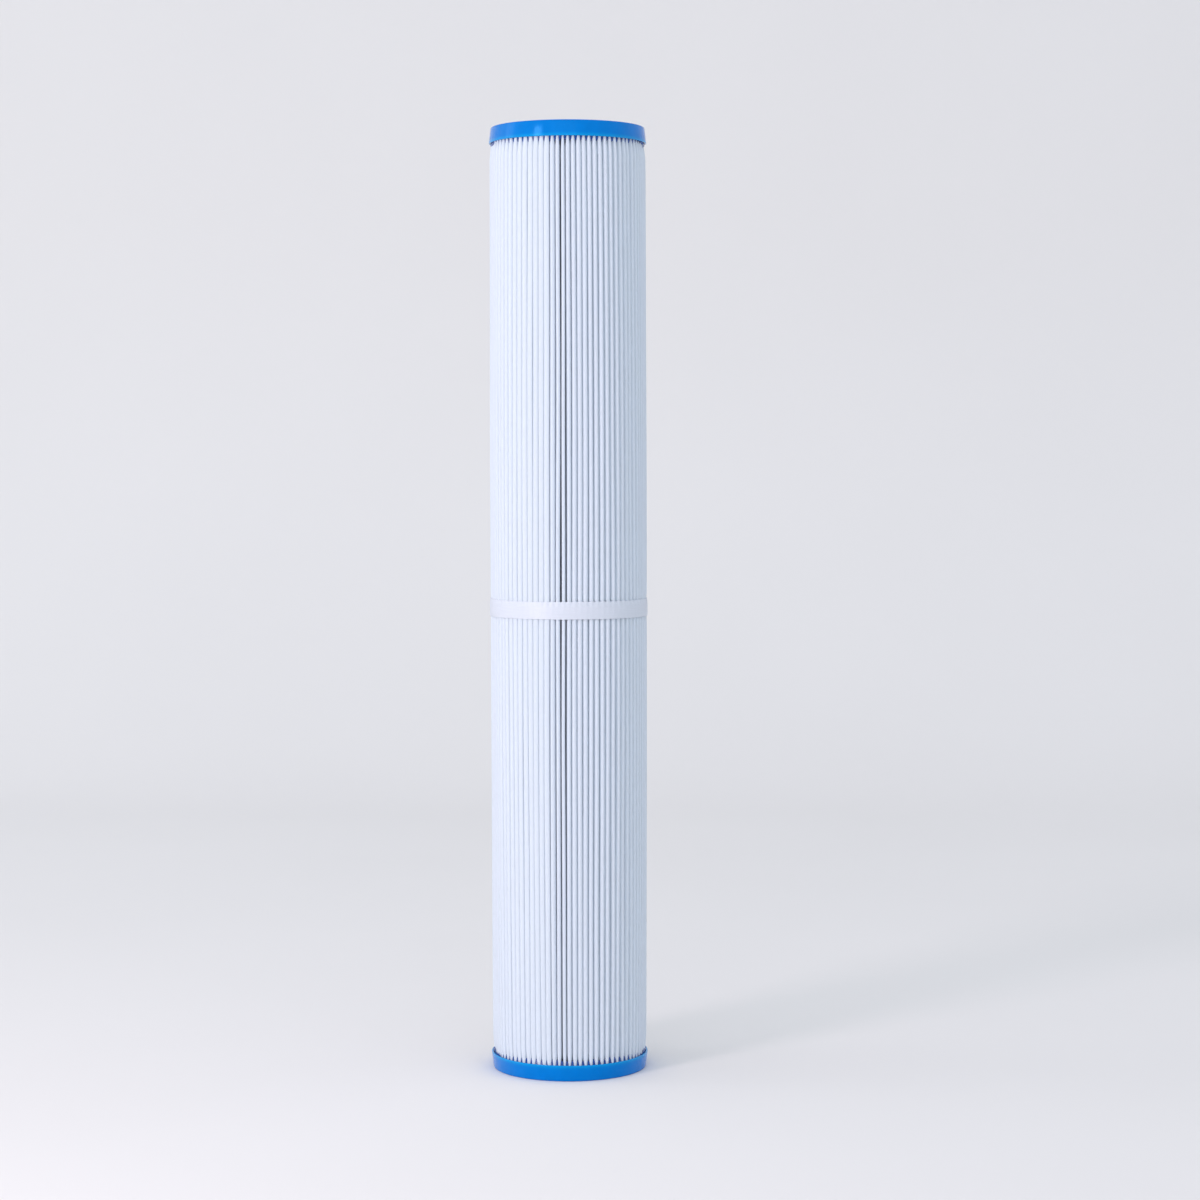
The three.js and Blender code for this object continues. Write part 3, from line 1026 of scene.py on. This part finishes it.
# How far it sags in between tips, at the ripple along its upper edge, and at its two edges.
SAG = 0.10 * MM
RIPPLE_SAG = 0.42 * MM
UPPER_SAG = 0.32 * MM
LOWER_SAG = 0.08 * MM
RIPPLE_DIP = 0.7 * MM
SLOW_BOW = 0.25 * MM


def build_strap(name, plastic):
    """One strip drawn tight round the pleats, its ends lapped and welded at the back."""
    strap = settings("strap")
    media = settings("media")
    width = STRAP_HIGH - STRAP_LOW
    thickness = strap.thickness
    inner = STRAP_RADIUS - thickness
    half_lap = strap.lap_length / 2 / STRAP_RADIUS
    steps = media.pleats * STRAP_STEPS_PER_PLEAT
    end = LAP_BEARING + TURN + half_lap
    angles = np.linspace(LAP_BEARING - half_lap, end, steps + LAP_STEPS)
    draw = np.random.default_rng(7)
    phases = draw.uniform(0, TURN, 4)
    # A section of the strip: its two faces and its rounded edges, as (out, up) distances.
    corners = [
        [thickness, -width / 2, STRAP_EDGE],
        [thickness, width / 2, STRAP_EDGE],
        [0, width / 2, STRAP_EDGE],
        [0, -width / 2, STRAP_EDGE],
    ]
    rim = rounded_outline(corners, steps=3)
    rows = [[thickness, share * width] for share in STRAP_ROWS]
    inner_side = [p for p in rim if p[0] <= thickness / 2]
    lower_out = [p for p in rim if p[0] > thickness / 2 and p[1] < 0]
    upper_out = [p for p in rim if p[0] > thickness / 2 and p[1] >= 0]
    section = np.array([*lower_out, *rows, *upper_out, *inner_side])

    points = []
    lap_start = LAP_BEARING + TURN - half_lap
    for angle in angles:
        # The free end climbs over the start of the strip, then lies flat on it.
        climb = smoothstep(lap_start - LAP_STEP / STRAP_RADIUS, lap_start, angle)
        lift = climb * (thickness - 0.02 * MM)
        bearing = angle + math.pi / 2
        # It sags a little between the tips that it rests on.
        pleat = media.pleats * (bearing - drift(bearing, STRAP_CENTRE))
        span = 0.5 + 0.5 * math.cos(pleat)
        waves = [math.sin((i + 1) * angle + phase) / (i + 2) for i, phase in enumerate(phases)]
        slow = sum(waves) * SLOW_BOW
        for out, up in section:
            # How near this point is to the upper edge and to the lower one.
            high = smoothstep(0.14, 0.44, up / width)
            low = smoothstep(-0.30, -0.5, up / width)
            sag = SAG * span + RIPPLE_SAG * high * span + UPPER_SAG * high + LOWER_SAG * low
            radius = inner + lift + out - sag * (1 - climb)
            height = up + slow * (0.8 if up > 0 else 0.48) - RIPPLE_DIP * span * high
            height = max(-width / 2, min(width / 2, height))
            points.append((radius * math.cos(angle), radius * math.sin(angle), STRAP_CENTRE + height))
    faces = [face[::-1] for face in rod_faces(len(angles), len(section))]
    piece = mesh_object(name, points, faces, plastic)
    weld_and_face_out(piece)
    return piece


# ---------------------------------------------------------------- operators


class CARTRIDGE_OT_caps(bpy.types.Operator):
    """Builds the two end caps"""

    bl_idname = "cartridge.caps"
    bl_label = "End caps"

    def execute(self, context):
        cap = settings("caps")
        blue = moulded_polyurethane("moulded_polyurethane_blue", cap.colour, cap.painted_lip_light_colour)
        outline = cap_outline(cap)
        bottom = lathe("cap_bottom", outline, CAP_SEGMENTS, blue, slack_of(3))
        place(bottom, "end_cap", "bottom_end_cap")
        top = turn_over(lathe("cap_top", outline, CAP_SEGMENTS, blue, slack_of(4)))
        place(top, "end_cap", "top_end_cap")
        return {"FINISHED"}


class CARTRIDGE_OT_potting(bpy.types.Operator):
    """Builds the resin that bonds the pleats into the caps"""

    bl_idname = "cartridge.potting"
    bl_label = "Potting"

    def execute(self, context):
        cap = settings("caps")
        resin = cast_resin("cast_polyurethane_resin", cap.resin_colour_with_painted_shade)
        bottom = build_potting("resin_bottom", cap, resin, 11)
        place(bottom, "potting", "bottom_potting")
        top = turn_over(build_potting("resin_top", cap, resin, 12, upper=True))
        place(top, "potting", "top_potting")
        return {"FINISHED"}


class CARTRIDGE_OT_core(bpy.types.Operator):
    """Builds the three sections of the perforated core"""

    bl_idname = "cartridge.core"
    bl_label = "Core"

    def execute(self, context):
        core = settings("core")
        plastic = moulded_polypropylene("moulded_polypropylene_white", core.colour)
        for index, level in enumerate(("lower", "middle", "upper")):
            section = build_core_section(f"core_{level}", index, core, plastic)
            place(section, "core", f"core_{level}_section")
        return {"FINISHED"}


class CARTRIDGE_OT_media(bpy.types.Operator):
    """Builds the pleated media"""

    bl_idname = "cartridge.media"
    bl_label = "Pleated media"

    def execute(self, context):
        felt = spunbond_polyester("spunbond_polyester_felt", settings("media").colour)
        piece, run, height = build_media("media_pleats", felt)
        place(piece, "media", "pleated_media")
        print(f"media: flat {run:.3f} m by {height:.3f} m, {len(piece.data.polygons)} faces")
        return {"FINISHED"}


class CARTRIDGE_OT_seam(bpy.types.Operator):
    """Builds the glue line that closes the media"""

    bl_idname = "cartridge.seam"
    bl_label = "Seam"

    def execute(self, context):
        place(build_seam("seam_bead", hot_melt("hot_melt_glue")), "glue", "media_seam_bead")
        return {"FINISHED"}


class CARTRIDGE_OT_strap(bpy.types.Operator):
    """Builds the strap round the middle"""

    bl_idname = "cartridge.strap"
    bl_label = "Strap"

    def execute(self, context):
        plastic = extruded_polypropylene("extruded_polypropylene_strap", settings("strap").colour)
        place(build_strap("strap", plastic), "strap", "retaining_band")
        return {"FINISHED"}


class CARTRIDGE_OT_studio(bpy.types.Operator):
    """Builds the paper sweep, the lights and the camera"""

    bl_idname = "cartridge.studio"
    bl_label = "Studio"

    def execute(self, context):
        studio = settings("studio")
        scene = context.scene
        build_sweep(studio)
        build_lights(studio)
        scene.camera = build_camera(studio)
        scene.view_settings.view_transform = "Standard"
        return {"FINISHED"}


def build_sweep(studio):
    """A roll of paper: flat under the cartridge, and curved up behind it."""
    paper = matt_paper("matt_paper_sweep", studio.sweep_colour)
    front, back, bend, top, half = -4.0, 1.6, 0.9, 4.0, 5.0
    profile = [(front, 0.0), (0.0, 0.0)]
    for step in range(17):
        turn = math.pi / 2 * step / 16
        profile.append((back + bend * math.sin(turn), bend * (1 - math.cos(turn))))
    profile.append((back + bend, top))
    across = np.linspace(-half, half, 9)
    points = [(x, y, z) for y, z in profile for x in across]
    faces = grid_faces(len(profile), len(across), close_columns=False)
    sweep = mesh_object("paper_sweep", points, faces, paper)


WINDOW_COLOUR = (1.0, 0.85, 0.89)
WASH_TARGET = (-0.2, 2.3, 0.8)
ROOM_COLOUR = "eef5ff"
SENSOR_WIDTH = 36
LENS_SHIFT = -0.0397
CAMERA_TIP = math.radians(2.0)
CAMERA_ROLL = math.radians(-0.13)


def build_lights(studio):
    """The light of a pale room, a tall window at the left, a fill and a wash on the sweep's left."""
    world = bpy.data.worlds.new("pale_room")
    world.use_nodes = True
    background = world.node_tree.nodes["Background"]
    background.inputs["Color"].default_value = linear(ROOM_COLOUR)
    background.inputs["Strength"].default_value = studio.room_light
    bpy.context.scene.world = world

    window = add_softbox("window", (0.32, 1.4), studio.key_power, bearing=-43, reach=1.6, height=0.60)
    window.data.color = WINDOW_COLOUR
    add_softbox("fill", (2.0, 2.0), studio.fill_power, bearing=-5, reach=3.0, height=1.2)
    add_softbox(
        "wash", (1.0, 1.6), studio.wash_power, bearing=-95, reach=2.3, height=1.2, target=WASH_TARGET
    )


def add_softbox(name, size, power, bearing, reach, height, target=(0, 0, LENGTH / 2)):
    """A soft rectangular light at a bearing in degrees right of the camera, aimed at a target."""
    light = bpy.data.lights.new(name, "AREA")
    light.shape = "RECTANGLE"
    light.size, light.size_y = size
    light.energy = power
    stand = bpy.data.objects.new(name, light)
    turn = math.radians(bearing)
    stand.location = (reach * math.sin(turn), -reach * math.cos(turn), height)
    aim = Vector(target) - stand.location
    stand.rotation_euler = aim.to_track_quat("-Z", "Y").to_euler()
    bpy.context.scene.collection.objects.link(stand)
    return stand


def build_camera(studio):
    """A camera a little above the middle of the cartridge, tipped down two degrees."""
    lens = bpy.data.cameras.new("camera")
    lens.lens = studio.lens
    lens.sensor_width = SENSOR_WIDTH
    lens.shift_y = LENS_SHIFT
    camera = bpy.data.objects.new("camera", lens)
    bpy.context.scene.collection.objects.link(camera)
    tip = Matrix.Rotation(math.pi / 2 - CAMERA_TIP, 4, "X")
    roll = Matrix.Rotation(CAMERA_ROLL, 4, "Z")
    where = Matrix.Translation((studio.sideways, -studio.distance, studio.eye_height))
    camera.matrix_world = where @ tip @ roll
    return camera


class CARTRIDGE_PT_panel(bpy.types.Panel):
    """Lists the cartridge's pieces"""

    bl_idname = "CARTRIDGE_PT_panel"
    bl_label = "Cartridge"
    bl_space_type = "VIEW_3D"
    bl_region_type = "UI"
    bl_category = "Cartridge"

    def draw(self, context):
        for group, operators in PANEL_ROWS:
            box = self.layout.box()
            values = settings(group)
            for key in values.__annotations__:
                box.prop(values, key)
            for operator in operators:
                box.operator(operator.bl_idname)


PANEL_ROWS = [
    ("caps", [CARTRIDGE_OT_caps, CARTRIDGE_OT_potting]),
    ("core", [CARTRIDGE_OT_core]),
    ("media", [CARTRIDGE_OT_media, CARTRIDGE_OT_seam]),
    ("strap", [CARTRIDGE_OT_strap]),
    ("studio", [CARTRIDGE_OT_studio]),
]

GROUPS = {
    "caps": CapSettings,
    "core": CoreSettings,
    "media": MediaSettings,
    "strap": StrapSettings,
    "studio": StudioSettings,
}

OPERATORS = [operator for _, operators in PANEL_ROWS for operator in operators]


def register():
    for group in GROUPS.values():
        bpy.utils.register_class(group)
    for name, group in GROUPS.items():
        setattr(bpy.types.Scene, "cartridge_" + name, bpy.props.PointerProperty(type=group))
    for operator in OPERATORS:
        bpy.utils.register_class(operator)
    bpy.utils.register_class(CARTRIDGE_PT_panel)


def unregister():
    bpy.utils.unregister_class(CARTRIDGE_PT_panel)
    for operator in reversed(OPERATORS):
        bpy.utils.unregister_class(operator)
    for name in GROUPS:
        delattr(bpy.types.Scene, "cartridge_" + name)
    for group in GROUPS.values():
        bpy.utils.unregister_class(group)


def main():
    register()
    bpy.ops.cartridge.studio()
    bpy.ops.cartridge.caps()
    bpy.ops.cartridge.potting()
    bpy.ops.cartridge.core()
    bpy.ops.cartridge.media()
    bpy.ops.cartridge.seam()
    bpy.ops.cartridge.strap()


if __name__ == "__main__":
    main()
